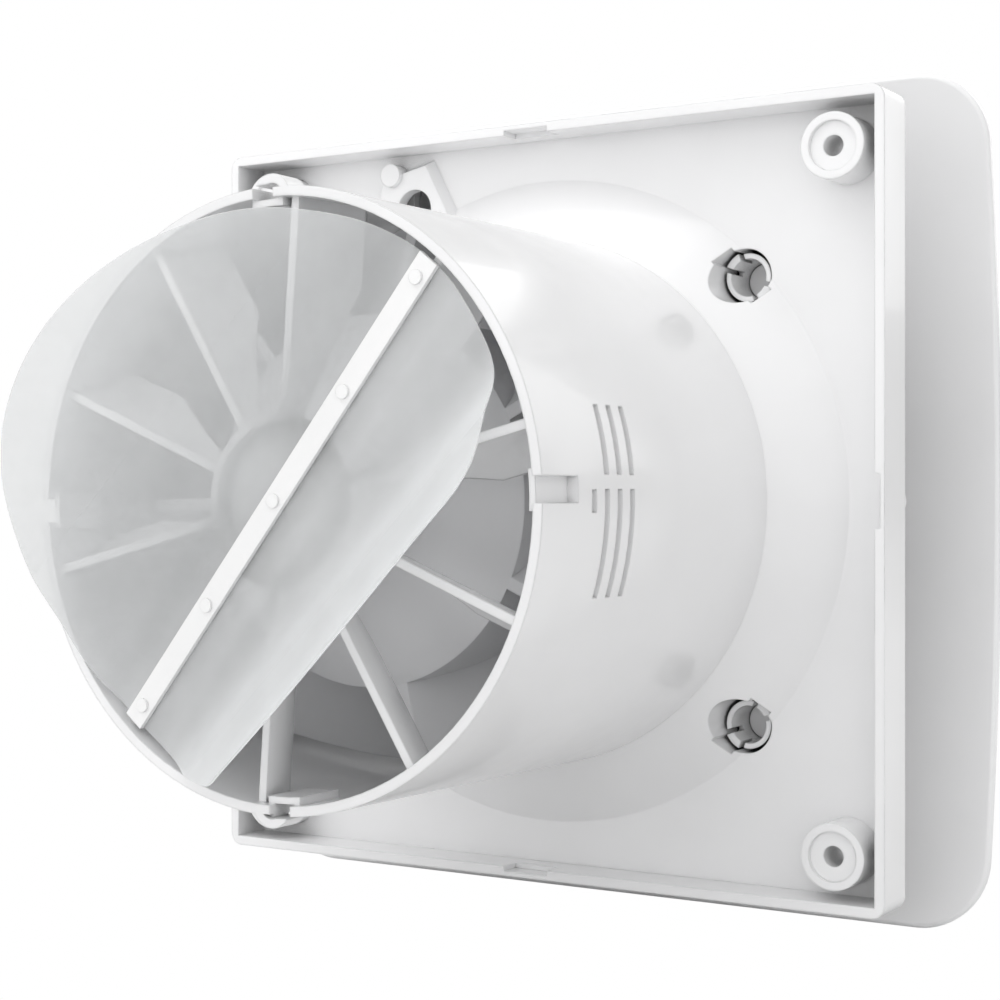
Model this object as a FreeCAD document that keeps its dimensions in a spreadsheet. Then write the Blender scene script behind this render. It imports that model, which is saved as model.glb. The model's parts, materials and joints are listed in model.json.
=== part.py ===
"""Bathroom extractor fan for a 100 mm duct, as a parametric FreeCAD document.

Frame: the origin is on the spigot's axis, in the plane of the tray edges that stand against the wall.
+Z is up, +Y runs through the wall into the duct, and the room is on the -Y side.
A bearing is the angle seen from behind: 0 at -X, and a quarter turn at +Z.
"""
import FreeCAD, Part
import math
import os

import Sketcher
from FreeCAD import Placement, Rotation, Vector

# ---------------------------------------------------------------- driving dimensions, mm and degrees

SIZES = {
    # tray against the wall
    "tray_width": 143.7,
    "tray_wall": 1.85,
    "tray_corner": 2.5,
    "plate_setback": 8.5,
    "plate_thickness": 1.5,
    "notch_width": 9.5,
    "notch_depth": 1.0,
    # duct spigot and bell mouth
    "spigot_radius": 49.5,
    "spigot_root_radius": 50.0,
    "spigot_wall": 1.65,
    "spigot_length": 77.25,
    "bell_radius": 62.0,
    "bell_wall": 1.7,
    # wall screws
    "screw_spacing": 124.0,
    "boss_radius": 5.9,
    "boss_face": 0.6,
    "boss_recess_radius": 4.4,
    "boss_recess_depth": 0.7,
    "screw_hole_radius": 1.85,
    # split collets that hold the front panel's studs
    "collet_across": 84.0,
    "collet_up": 82.0,
    "collet_barrel": 7.0,
    "collet_recess": 5.15,
    "collet_outside": 4.45,
    "collet_barb": 4.9,
    "collet_bore": 3.5,
    "collet_depth": 20.0,
    "collet_end": 9.8,
    "collet_slit": 0.9,
    "collet_slit_depth": 5.0,
    "collet_slit_spread": 25.0,
    "cross_slot_length": 11.3,
    "cross_slot_width": 3.8,
    # cable entry and locating peg
    "cable_x": 29.7,
    "cable_z": 58.6,
    "cable_radius": 4.0,
    "cable_wall": 2.7,
    "pad_height": 2.4,
    "pad_slope": 16.0,
    "peg_x": 35.0,
    "peg_z": 65.8,
    "peg_radius": 2.35,
    "peg_height": 3.4,
    # features of the spigot's rim
    "rim_turn": 2.0,
    "rim_notch_width": 4.0,
    "rim_notch_depth": 10.4,
    "rim_tab_width": 6.2,
    "rim_tab_radius": 46.55,
    "rim_tab_thickness": 1.1,
    "rim_tab_setback": 1.2,
    "ear_radius": 3.65,
    "ear_centre": 47.8,
    "ear_recess": 2.15,
    "ear_recess_depth": 1.0,
    "ear_length": 4.8,
    "vent_width": 1.4,
    "vent_pitch": 4.0,
    "vent_last": 62.0,
    # guide vanes
    "vane_count": 10,
    "vane_bearing": 14.0,
    "vane_back": 75.3,
    "vane_front": 63.3,
    "vane_sweep": 4.5,
    "vane_thickness": 1.5,
    "vane_step_radius": 34.5,
    "vane_step": 71.4,
    "vane_step_overrun": 7.4,
    "cup_radius": 14.0,
    "cup_recess_radius": 12.5,
    "cup_recess_depth": 2.0,
    # backdraught valve
    "bar_bearing": 51.05,
    "bar_length": 93.4,
    "bar_width": 3.9,
    "bar_thickness": 0.8,
    "pin_pitch": 21.6,
    "pin_radius": 0.8,
    "pin_head_radius": 1.15,
    "film_radius": 46.5,
    "film_thickness": 0.3,
    "film_middle": 75.75,
    "film_gap": 0.15,
    "film_clamped": 2.3,
    "crease_turn": 6.5,
    "first_crease": 15.5,
    "second_crease": 32.0,
    "left_root_lift": 16.7,
    "left_middle_lift": 18.3,
    "left_tip_lift": 17.2,
    "right_root_lift": 9.0,
    "right_middle_lift": 30.3,
    "right_tip_lift": 23.3,
    # impeller
    "blade_count": 7,
    "blade_bearing": 26.5,
    "blade_tip": 46.5,
    "blade_back": 52.0,
    "blade_front": 24.0,
    "blade_twist": 0.9,
    "blade_camber": 0.022,
    "blade_thickness": 1.8,
    "hub_radius": 31.3,
    "hub_wall": 1.8,
    "dome_height": 6.5,
    "hub_boss_radius": 5.0,
    "hub_boss_front": 44.0,
    "clip_thickness": 0.7,
    "clip_width": 4.0,
    # motor
    "motor_radius": 27.0,
    "motor_front": 4.0,
    "motor_back": 42.0,
    "motor_split": 23.0,
    "motor_shell": 1.2,
    "shaft_radius": 3.0,
    "shaft_front": 2.0,
    "shaft_back": 55.0,
    "running_gap": 0.03,
    "bearing_radius": 8.0,
    "bearing_width": 6.0,
    "rotor_radius": 13.0,
    "air_gap": 0.4,
    "core_width": 16.0,
    "core_middle": 23.0,
    "pole_count": 4,
    "pole_width": 8.0,
    "yoke_radius": 21.5,
    "coil_thickness": 2.4,
    "tie_screw_radius": 1.5,
    "tie_screw_circle": 23.6,
    # spider that carries the motor in the bell mouth
    "spider_front": 17.0,
    "spider_hub_radius": 24.0,
    "spider_wall": 2.0,
    "spider_arm_width": 7.0,
    "spider_arm_thickness": 3.5,
    "spider_reach": 66.0,
    "foot_screw_radius": 1.5,
    "mount_circle": 15.0,
    "mount_radius": 4.0,
    # front panel
    "panel_width": 160.0,
    "panel_height": 158.0,
    "panel_thickness": 2.4,
    "panel_corner": 13.0,
    "panel_rounding": 0.8,
    "panel_edge": 28.5,
    "panel_bow": 8.5,
    "stud_radius": 3.3,
    "stud_neck": 2.5,
    "stud_head": 3.0,
    "stud_tip": 17.5,
    # terminal box
    "box_left": 8.0,
    "box_right": 52.0,
    "box_top": 69.6,
    "box_wall": 1.5,
    "box_front": 25.0,
    "box_arc": 60.8,
    "block_width": 15.0,
    "block_height": 5.0,
    "block_depth": 7.0,
    "terminal_screw_radius": 1.3,
    "lead_radius": 0.9,
    "lead_pitch": 2.4,
}


class Size:
    """A number of the sheet, or one worked out from such numbers, kept with the formula that gives it."""

    def __init__(self, value, formula):
        self.value = value
        self.formula = formula

    def _join(self, other, sign, value):
        return Size(value, "(%s %s %s)" % (self.formula, sign, size_of(other).formula))

    def __add__(self, other):
        return self._join(other, "+", self.value + size_of(other).value)

    def __sub__(self, other):
        return self._join(other, "-", self.value - size_of(other).value)

    def __mul__(self, other):
        return self._join(other, "*", self.value * size_of(other).value)

    def __truediv__(self, other):
        return self._join(other, "/", self.value / size_of(other).value)

    def __neg__(self):
        return Size(-self.value, "(-1 * %s)" % self.formula)

    __radd__ = __add__
    __rmul__ = __mul__


def size_of(number):
    return number if isinstance(number, Size) else Size(float(number), repr(float(number)))


doc = FreeCAD.newDocument("extractor_fan")
sheet = doc.addObject("Spreadsheet::Sheet", "sizes")
for row, (alias, number) in enumerate(SIZES.items(), start=1):
    sheet.set("A%d" % row, alias)
    sheet.set("B%d" % row, repr(number))
    sheet.setAlias("B%d" % row, alias)
doc.recompute()


class Sheet:
    """Gives each cell of the sheet as a Size: dim.tray_width, for one."""

    def __getattr__(self, alias):
        return Size(float(sheet.get(alias)), "sizes." + alias)


dim = Sheet()
PIECES = []


# ---------------------------------------------------------------- helpers

def bind(thing, prop, size):
    """Tie one property to the sheet, or set it when the size is a plain number."""
    size = size_of(size)
    if "sizes." in size.formula:
        thing.setExpression(prop, size.formula)
    else:
        thing.setExpression(prop, None)
        setattr(thing, prop, size.value)


def piece(thing, label):
    """Register a finished sub-part under the name of its node."""
    thing.Label = label
    PIECES.append(thing)
    return thing


def bearing(angle, radius, y=0.0):
    """The point at this bearing, seen from behind, and radius from the axis."""
    turn = math.radians(angle)
    return Vector(-radius * math.cos(turn), y, radius * math.sin(turn))


def about_axis(angle):
    """A turn about the fan's axis that adds this angle to every bearing."""
    return Placement(Vector(), Rotation(Vector(0, 1, 0), angle))


def body(label):
    return doc.addObject("PartDesign::Body", label)


def sketch_on(owner, role, offset=0.0, turn=0.0):
    """A sketch on one of the body's origin planes, moved along the plane's normal."""
    plane = [item for item in owner.Origin.OriginFeatures if item.Role == role][0]
    sketch = owner.newObject("Sketcher::SketchObject", owner.Name + "_sketch")
    sketch.AttachmentSupport = [(plane, "")]
    sketch.MapMode = "FlatFace"
    offset = size_of(offset)
    sketch.AttachmentOffset = Placement(Vector(0, 0, offset.value), Rotation(Vector(0, 0, 1), turn))
    if "sizes." in offset.formula:
        sketch.setExpression(".AttachmentOffset.Base.z", offset.formula)
    return sketch


def across(owner, y):
    """A sketch across the fan's axis, at this Y. Its own axes are X and Z."""
    return sketch_on(owner, "XZ_Plane", -size_of(y))


def hold(sketch, kind, *refs_and_size):
    """Add one dimension to a sketch and tie it to the sheet."""
    size = size_of(refs_and_size[-1])
    index = sketch.addConstraint(Sketcher.Constraint(kind, *refs_and_size[:-1], size.value))
    if "sizes." in size.formula:
        sketch.setExpression("Constraints[%d]" % index, size.formula)


def pin_point(sketch, geometry, position, x, y):
    """Hold a sketch point at (x, y) from the sketch's origin."""
    for kind, size, axis in (("DistanceX", size_of(x), -2), ("DistanceY", size_of(y), -1)):
        if abs(size.value) < 1e-9:
            sketch.addConstraint(Sketcher.Constraint("PointOnObject", geometry, position, axis))
        else:
            hold(sketch, kind, -1, 1, geometry, position, size)


def polygon(sketch, corners, arcs=None):
    """A closed outline, each corner held by its sizes.

    Sides are straight. arcs gives a side that isn't by its number, with its radius: positive
    when the centre is on the left of the way from corner to corner, negative when on the right.
    """
    corners = [(size_of(x), size_of(y)) for x, y in corners]
    arcs = {side: size_of(radius) for side, radius in (arcs or {}).items()}
    points = [Vector(x.value, y.value, 0) for x, y in corners]
    first = len(sketch.Geometry)
    count = len(points)
    starts = []
    for i in range(count):
        start, end = points[i], points[(i + 1) % count]
        if i not in arcs:
            sketch.addGeometry(Part.LineSegment(start, end), False)
            starts.append(1)
            continue
        radius = arcs[i].value
        half = (end - start) * 0.5
        left = Vector(-half.y, half.x, 0).normalize()
        rise = math.sqrt(radius * radius - half.Length ** 2)
        centre = start + half + left * math.copysign(rise, radius)
        if radius < 0:
            start, end = end, start
        angles = [math.atan2(p.y - centre.y, p.x - centre.x) for p in (start, end)]
        round_side = Part.Circle(centre, Vector(0, 0, 1), abs(radius))
        sketch.addGeometry(Part.ArcOfCircle(round_side, *angles), False)
        starts.append(1 if radius > 0 else 2)
    for i in range(count):
        after = (i + 1) % count
        sketch.addConstraint(
            Sketcher.Constraint("Coincident", first + i, 3 - starts[i], first + after, starts[after])
        )
        pin_point(sketch, first + i, starts[i], *corners[i])
    for side, radius in arcs.items():
        hold(sketch, "Radius", first + side, radius if radius.value > 0 else -radius)


def circle(sketch, x, y, radius):
    centre = Vector(size_of(x).value, size_of(y).value, 0)
    index = sketch.addGeometry(Part.Circle(centre, Vector(0, 0, 1), size_of(radius).value), False)
    pin_point(sketch, index, 3, x, y)
    hold(sketch, "Radius", index, radius)


def rectangle(sketch, left, bottom, right, top):
    polygon(sketch, [(left, bottom), (right, bottom), (right, top), (left, top)])


def four_corners(across_size, up_size):
    """The four corners of a rectangle centred on the axis."""
    return [(across_size / 2 * sx, up_size / 2 * sz) for sx in (-1, 1) for sz in (-1, 1)]


def pad(owner, sketch, length):
    """Add the sketch's area, towards +Y for a sketch across the axis."""
    feature = owner.newObject("PartDesign::Pad", owner.Name + "_pad")
    feature.Profile = sketch
    bind(feature, "Length", length)
    feature.Reversed = True
    return feature


def pocket(owner, sketch, length):
    """Cut the sketch's area away, towards +Y for a sketch across the axis."""
    doc.recompute()
    before = owner.Shape.Volume
    feature = owner.newObject("PartDesign::Pocket", owner.Name + "_pocket")
    feature.Profile = sketch
    bind(feature, "Length", length)
    feature.Reversed = False
    doc.recompute()
    if not feature.Shape.Volume < before - 1e-6:
        raise ValueError("pocket %s removes nothing" % feature.Name)
    return feature


def turned(owner, corners, arcs=None):
    """Revolve an outline of (radius, Y) corners about the fan's axis."""
    sketch = sketch_on(owner, "XY_Plane")
    polygon(sketch, corners, arcs)
    feature = owner.newObject("PartDesign::Revolution", owner.Name + "_turned")
    feature.Profile = sketch
    feature.ReferenceAxis = (sketch, ["V_Axis"])
    feature.Angle = 360
    return feature


def ring(label, inside, outside, start, end):
    """A turned body of plain rectangular section, solid when inside is 0."""
    owner = body(label)
    turned(owner, [(inside, start), (outside, start), (outside, end), (inside, end)])
    return owner


def cylinder(label, radius, start, length, x=0.0, z=0.0):
    """A Part cylinder that runs along +Y from the given start."""
    thing = doc.addObject("Part::Cylinder", label)
    thing.Placement = Placement(Vector(), Rotation(Vector(1, 0, 0), -90))
    bind(thing, "Radius", radius)
    bind(thing, "Height", length)
    place(thing, x, start, z)
    return thing


def block(label, x, y, z, length, width, height):
    """A Part box with its lowest corner at x, y, z."""
    thing = doc.addObject("Part::Box", label)
    bind(thing, "Length", length)
    bind(thing, "Width", width)
    bind(thing, "Height", height)
    place(thing, x, y, z)
    return thing


def place(thing, x, y, z):
    sizes = [size_of(number) for number in (x, y, z)]
    thing.Placement = Placement(Vector(*[size.value for size in sizes]), thing.Placement.Rotation)
    for name, size in zip("xyz", sizes):
        if "sizes." in size.formula:
            thing.setExpression(".Placement.Base." + name, size.formula)


def turn_to(thing, angle, built_at=180.0):
    """Turn a thing that was built along +X, at bearing 180, to another bearing."""
    thing.Placement = about_axis(size_of(angle).value - built_at)
    thing.setExpression(".Placement.Rotation.Angle", (size_of(angle) - built_at).formula)
    return thing


def turned_copy(thing, angle):
    """A copy of a thing that was built at bearing 180, turned to this bearing."""
    copy = doc.addObject("Part::Compound", thing.Name + "_copy")
    copy.Links = [thing]
    return turn_to(copy, angle)


def around(thing, count, first):
    """Copies of a thing built at bearing 180, turned to evenly spaced bearings."""
    return [turned_copy(thing, first + 360.0 * number / count) for number in range(count)]


def joined(label, things):
    """One solid, or one group of solids, made of all these."""
    thing = doc.addObject("Part::MultiFuse", label)
    thing.Shapes = things
    return thing


def shared(label, things):
    """The space that all these have in common."""
    thing = doc.addObject("Part::MultiCommon", label)
    thing.Shapes = things
    return thing


def less(label, base, tool):
    """The base with the tool cut away."""
    thing = doc.addObject("Part::Cut", label)
    thing.Base = base
    thing.Tool = tool
    return thing


def grouped(label, things):
    """Separate solids of one kind, kept in one node."""
    thing = doc.addObject("Part::Compound", label)
    thing.Links = things
    return thing


# ---------------------------------------------------------------- casing

def casing_shell():
    """Spigot, bell mouth and tray, with the wall-screw bosses."""
    shell = body("casing_shell")
    plate_front = -dim.plate_setback - dim.plate_thickness
    turned(shell, [
        (dim.spigot_radius, dim.spigot_length),
        (dim.spigot_root_radius, 0),
        (dim.bell_radius, -dim.plate_setback),
        (dim.bell_radius, plate_front),
        (dim.bell_radius - dim.bell_wall, plate_front),
        (dim.spigot_root_radius - dim.spigot_wall, -dim.bell_wall / 2),
        (dim.spigot_radius - dim.spigot_wall, dim.spigot_length),
    ])

    half = dim.tray_width / 2
    inner = half - dim.tray_wall
    plate = across(shell, plate_front)
    rectangle(plate, -half, -half, half, half)
    circle(plate, 0, 0, dim.bell_radius - dim.bell_wall / 2)
    pad(shell, plate, dim.plate_thickness)

    walls = across(shell, plate_front)
    rectangle(walls, -half, -half, half, half)
    rectangle(walls, -inner, -inner, inner, inner)
    pad(shell, walls, dim.plate_setback + dim.plate_thickness)

    screws = four_corners(dim.screw_spacing, dim.screw_spacing)
    bosses = across(shell, plate_front)
    for x, z in screws:
        circle(bosses, x, z, dim.boss_radius)
    pad(shell, bosses, dim.plate_setback + dim.plate_thickness - dim.boss_face)
    for start, radius in ((plate_front, dim.screw_hole_radius),
                          (-dim.boss_face - dim.boss_recess_depth, dim.boss_recess_radius)):
        holes = across(shell, start)
        for x, z in screws:
            circle(holes, x, z, radius)
        pocket(shell, holes, -start)

    doc.recompute()
    edges = []
    for number, edge in enumerate(shell.Shape.Edges, start=1):
        middle = edge.BoundBox.Center
        upright = edge.BoundBox.YLength > 5 and edge.BoundBox.DiagonalLength - edge.BoundBox.YLength < 0.01
        if upright and min(abs(middle.x), abs(middle.z)) > half.value - 0.01:
            edges.append("Edge%d" % number)
    square = shell.Tip
    fillet = shell.newObject("PartDesign::Fillet", "tray_corners")
    fillet.Base = (square, edges)
    bind(fillet, "Radius", dim.tray_corner)
    return shell


def wall_notches():
    """Shallow reliefs at the middle of the tray's four walls, on their inside."""
    inner = dim.tray_width / 2 - dim.tray_wall
    cuts = []
    for number in range(4):
        cut = block("wall_notch", inner - 1, -dim.plate_setback / 2, -dim.notch_width / 2,
                    dim.notch_depth + 1, dim.plate_setback, dim.notch_width)
        cuts.append(turned_copy(cut, 90 * number))
    return cuts


def collet(across_corner):
    """One split collet about its own centre: its recess, and the four fingers that stand in it.

    The cross slot lies at right angles to the corner's bearing, with a slit on either side of it.
    """
    front = -dim.collet_depth
    floor = front + dim.bell_wall
    slits = []
    for side in (-1, 1):
        slit = block("collet_slit", -dim.collet_recess, -dim.collet_end - dim.collet_slit_depth,
                     -dim.collet_slit / 2, dim.collet_recess * 2, dim.collet_depth, dim.collet_slit)
        slits.append(turned_copy(slit, across_corner + dim.collet_slit_spread * side))
    slot = block("cross_slot", -dim.cross_slot_length / 2, floor, -dim.cross_slot_width / 2,
                 dim.cross_slot_length, dim.collet_depth, dim.cross_slot_width)
    slot = turned_copy(slot, across_corner)
    recess = joined("collet_opening", [
        cylinder("collet_recess", dim.collet_recess, floor, dim.collet_depth), slot,
        cylinder("collet_through", dim.collet_bore, front - 1, dim.collet_depth),
    ])
    tube = cylinder("collet_tube", dim.collet_outside, front, dim.collet_depth - dim.collet_end)
    barb = shared("collet_barbs", [
        cylinder("collet_barb", dim.collet_barb, floor, -dim.collet_end - floor), slot,
    ])
    bore = cylinder("collet_bore", dim.collet_bore, front - 1, dim.collet_depth + 2)
    solid = joined("collet_solid", [tube, barb])
    fingers = less("collet_fingers", solid, joined("collet_tools", [bore] + slits))
    return recess, fingers


def collets():
    """Four split collets let into the bell mouth: what is added, what is cut, what stands in the cut."""
    front = -dim.collet_depth
    under = body("under_the_bell")
    turned(under, [
        (0, 0), (dim.spigot_root_radius, 0), (dim.bell_radius, -dim.plate_setback),
        (dim.tray_width / 2, -dim.plate_setback), (dim.tray_width / 2, front), (0, front),
    ])
    barrels, recesses, fingers = [], [], []
    for x, z in four_corners(dim.collet_across, dim.collet_up):
        barrels.append(cylinder("collet_barrel", dim.collet_barrel, front, dim.collet_depth, x, z))
        corner = math.degrees(math.atan2(z.value, -x.value))
        for thing, kept in zip(collet(corner + 90), (recesses, fingers)):
            place(thing, x, 0, z)
            kept.append(thing)
    return [shared("collet_barrels", [under, joined("barrels", barrels)])], recesses, fingers


def cable_pad():
    """Raised pad that slopes up from the tray's edge to the cable hole, with a round peg beside it."""
    plate = -dim.plate_setback
    start = plate - dim.plate_thickness / 2
    corner_x, corner_z = dim.cable_x - 3.5, dim.cable_z + 10.3
    pad_body = body("pad_blank")
    outline = across(pad_body, start)
    polygon(outline, [
        (corner_x, corner_z),
        (dim.cable_x + 8.8, dim.cable_z + 7.7),
        (dim.cable_x + 12.0, dim.cable_z - 6.0),
        (dim.cable_x - 11.2, dim.cable_z - 4.3),
    ])
    raised = pad(pad_body, outline, dim.pad_height + dim.plate_thickness / 2)
    raised.TaperAngle = -25
    above = block("above_slope", dim.cable_x - 20, plate + 0.6, corner_z, 40, 10, 10)
    above.Placement = Placement(above.Placement.Base, Rotation(Vector(1, 0, 0), -90 - dim.pad_slope.value))
    above.setExpression(".Placement.Rotation.Angle", (90 + dim.pad_slope).formula)
    bell_inside = body("bell_inside")
    inset = dim.bell_wall / 2
    turned(bell_inside, [
        (0, 1), (dim.spigot_root_radius - inset, 1), (dim.spigot_root_radius - inset, 0),
        (dim.bell_radius - inset, plate), (dim.bell_radius - inset, plate - 3), (0, plate - 3),
    ])
    sloped = less("cable_pad", pad_body, joined("pad_tools", [above, bell_inside]))
    peg_length = dim.peg_height + dim.plate_thickness / 2
    peg = cylinder("peg", dim.peg_radius, start, peg_length, dim.peg_x, dim.peg_z)
    hole = cylinder("cable_hole", dim.cable_radius, plate - 5, 12, dim.cable_x, dim.cable_z)
    behind = plate - dim.plate_thickness - 1
    relief_depth = plate + dim.pad_height - dim.cable_wall - behind
    relief = cylinder("cable_relief", dim.cable_radius + 0.8, behind, relief_depth, dim.cable_x, dim.cable_z)
    return [sloped, peg], [hole, relief]


def rim_details():
    """Four notches in the spigot's rim, each backed by a tab, and a screw ear at top and bottom."""
    end = dim.spigot_length
    start = end - dim.rim_notch_depth
    inside = dim.spigot_radius - dim.spigot_wall
    tab_back = dim.rim_tab_radius + dim.rim_tab_thickness
    tab_ring = ring("tab_ring", dim.rim_tab_radius, inside + 0.6, start - 1, end - dim.rim_tab_setback)
    tabs, cuts = [], []
    for number in range(4):
        at = dim.rim_turn + 90 * number
        sector = block("tab_sector", 0, start - 2, -dim.rim_tab_width / 2, dim.spigot_radius,
                       dim.rim_notch_depth + 2, dim.rim_tab_width)
        tabs.append(shared("rim_tab", [tab_ring, turned_copy(sector, at)]))
        notch = block("rim_notch", tab_back, start, -dim.rim_notch_width / 2,
                      dim.spigot_radius + 0.3 - tab_back, dim.rim_notch_depth + 1, dim.rim_notch_width)
        cuts.append(turned_copy(notch, at))
    ears, recesses = [], []
    for side in (1, -1):
        centre = dim.ear_centre * side
        ears.append(cylinder("ear", dim.ear_radius, end - dim.ear_length, dim.ear_length, 0, centre))
        recesses.append(cylinder("ear_recess", dim.ear_recess, end - dim.ear_recess_depth,
                                 dim.ear_recess_depth + 1, 0, centre))
    wall_middle = ring("inside_wall", 0, inside + 1, end - 2 * dim.ear_length, end + 1)
    whole_spigot = ring("inside_ears", 0, dim.spigot_radius - 0.2, end - 2 * dim.ear_length, end + 2)
    outside_ears = less("outside_ears", joined("ears", ears), wall_middle)
    cuts.append(less("ear_recesses", joined("recesses", recesses), whole_spigot))
    return tabs + [outside_ears], cuts


def vents():
    """Narrow vents on one side of the spigot: (row from the last, first bearing, last bearing)."""
    cuts = []
    for row, low, high in ((0, -2, 2), (1, -17.4, 2.1), (2, -17.4, 2.1), (3, -17.4, 2.1),
                           (1, 4.7, 17.3), (2, 4.7, 17.3), (3, 4.7, 17.3)):
        middle = dim.vent_last - dim.vent_pitch * row
        cut = cylinder("vent", dim.spigot_radius + 2, middle - dim.vent_width / 2, dim.vent_width)
        cut.Angle = high - low
        cut.Placement = about_axis(low - 180) * cut.Placement
        cuts.append(cut)
    return cuts


def guide_vanes():
    """Ten swept vanes on a hub cup, and the cone that cuts them back to clear the impeller's dome."""
    vanes = body("guide_vanes")
    back = dim.vane_back
    turned(vanes, [
        (0, back - dim.cup_recess_depth), (dim.cup_recess_radius, back - dim.cup_recess_depth),
        (dim.cup_recess_radius, back), (dim.cup_radius, back), (dim.cup_radius, back - 10),
        (dim.cup_recess_radius, back - 10), (dim.cup_recess_radius, back - dim.cup_recess_depth * 2),
        (0, back - dim.cup_recess_depth * 2),
    ])
    outline = sketch_on(vanes, "YZ_Plane", dim.cup_recess_radius + 0.5)
    half = dim.vane_thickness / 2
    reach = (dim.vane_back - dim.vane_front).value
    sweep = dim.vane_sweep.value
    curve = (reach ** 2 + sweep ** 2) / (2 * sweep)
    polygon(outline, [
        (dim.vane_back, -half), (dim.vane_back, half),
        (dim.vane_front, dim.vane_sweep + half), (dim.vane_front, dim.vane_sweep - half),
    ], {1: -(curve - half.value), 3: curve + half.value})
    vane = vanes.newObject("PartDesign::Pad", "vane")
    vane.Profile = outline
    bind(vane, "Length", dim.spigot_radius - dim.spigot_wall - dim.cup_recess_radius)
    pattern = vanes.newObject("PartDesign::PolarPattern", "vane_pattern")
    pattern.Originals = [vane]
    axis = [item for item in vanes.Origin.OriginFeatures if item.Role == "Y_Axis"][0]
    pattern.Axis = (axis, [""])
    pattern.Angle = 360
    bind(pattern, "Occurrences", dim.vane_count)
    vanes.Tip = pattern
    turn_to(vanes, dim.vane_bearing)

    step = body("vane_step")
    turned(step, [
        (dim.cup_radius, dim.vane_front - 3),
        (dim.vane_step_radius + dim.vane_step_overrun, dim.vane_front - 3),
        (dim.cup_radius, dim.vane_step),
    ])
    return vanes, step


def bar_posts():
    """Posts under the valve bar for its five pins, and the pins' holes in them."""
    posts, holes = [], []
    for number in range(-2, 3):
        spot = bearing(dim.bar_bearing.value, number * dim.pin_pitch.value)
        posts.append(cylinder("bar_post", 1.9, dim.vane_back - 3.4, 3.4, spot.x, spot.z))
        holes.append(cylinder("bar_post_hole", dim.pin_radius + 0.04, dim.vane_back - 2, 3, spot.x, spot.z))
    return posts, holes


def terminal_walls():
    """Walls of the terminal box, on the room side of the plate, with the spider's four bosses."""
    floor = -dim.plate_setback - dim.plate_thickness
    low = dim.box_arc * 0.82
    wall = dim.box_wall
    depth = dim.box_front + floor

    def box(name, inset, extra):
        whole = block(name, dim.box_left + inset, -dim.box_front - extra, low,
                      dim.box_right - dim.box_left - 2 * inset, depth + extra, dim.box_top - low - inset)
        arc = cylinder(name + "_arc", dim.box_arc + inset, -dim.box_front - 2, dim.box_front)
        return less(name + "_cut", whole, arc)

    walls = less("box_walls", box("box_outside", 0 * wall, 0 * wall), box("box_inside", wall, wall))
    lead_gap = block("lead_gap", dim.box_left - 1, -20, 62.4, 4, 3.6, 5.2)
    lid_post = cylinder("lid_post", 3, -dim.box_front, depth, *lid_screw_place())
    lid_hole = cylinder("lid_hole", 1.25, -dim.box_front - 1, 10, *lid_screw_place())
    clamp_posts = [cylinder("clamp_post", 2.6, floor - 4, 4, *spot) for spot in clamp_screw_places()]
    clamp_holes = [cylinder("clamp_hole", 1.25, floor - 5, 5, *spot) for spot in clamp_screw_places()]
    bosses, pilots = [], []
    for x, z in spider_feet():
        bosses.append(cylinder("spider_boss", 3.2, -dim.spider_front + dim.spider_arm_thickness, 3.6, x, z))
        start = -dim.spider_front + dim.spider_arm_thickness - 1
        pilots.append(cylinder("spider_pilot", 1.25, start, 5, x, z))
    return [walls, lid_post] + clamp_posts + bosses, [lead_gap, lid_hole] + clamp_holes + pilots


def spider_feet():
    reach = dim.spider_reach
    return [(reach, size_of(0)), (-reach, size_of(0)), (size_of(0), reach), (size_of(0), -reach)]


def lid_screw_place():
    return dim.box_right - 6, dim.box_top - 6


def clamp_screw_places():
    return [(dim.cable_x + 8, dim.cable_z + offset) for offset in (-4.5, 5.5)]


def casing():
    barrels, recesses, fingers = collets()
    pads, pad_holes = cable_pad()
    rim_parts, rim_cuts = rim_details()
    vanes, step = guide_vanes()
    posts, post_holes = bar_posts()
    box_parts, box_holes = terminal_walls()
    stepped = less("stepped_vanes", vanes, step)
    solid = joined("casing_solid", [casing_shell(), stepped] + barrels + pads + posts + box_parts)
    cuts = joined("casing_cuts", recesses + pad_holes + vents() + post_holes + box_holes + wall_notches())
    opened = less("casing_opened", solid, cuts)
    dressed = joined("casing_dressed", [opened] + fingers + rim_parts)
    return piece(less("casing", dressed, joined("rim_cuts", rim_cuts)), "casing")


# ---------------------------------------------------------------- backdraught valve

def valve_bar():
    """Bar that clamps the film along its middle, with a hole for each pin."""
    bottom = dim.film_middle + dim.film_thickness / 2 + 0.02
    bar = block("bar_blank", -dim.bar_length / 2, bottom, -dim.bar_width / 2,
                dim.bar_length, dim.bar_thickness, dim.bar_width)
    holes = [cylinder("bar_hole", dim.pin_radius + 0.04, bottom - 1, 3, dim.pin_pitch * number)
             for number in range(-2, 3)]
    bar = less("valve_bar", bar, joined("bar_holes", holes))
    piece(turn_to(bar, dim.bar_bearing, 0), "valve_bar")


def valve_pins():
    """Five pins through bar and film, each with a low round head."""
    head = dim.film_middle + dim.film_thickness / 2 + dim.bar_thickness + 0.03
    pins = []
    for number in range(-2, 3):
        along = dim.pin_pitch * number
        shank = cylinder("pin_shank", dim.pin_radius, dim.vane_back - 1.8, head - dim.vane_back + 1.9, along)
        cap = cylinder("pin_cap", dim.pin_head_radius, head, 0.4, along)
        pins.append(joined("pin", [shank, cap]))
    piece(turn_to(grouped("valve_pins", pins), dim.bar_bearing, 0), "valve_pins")


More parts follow.
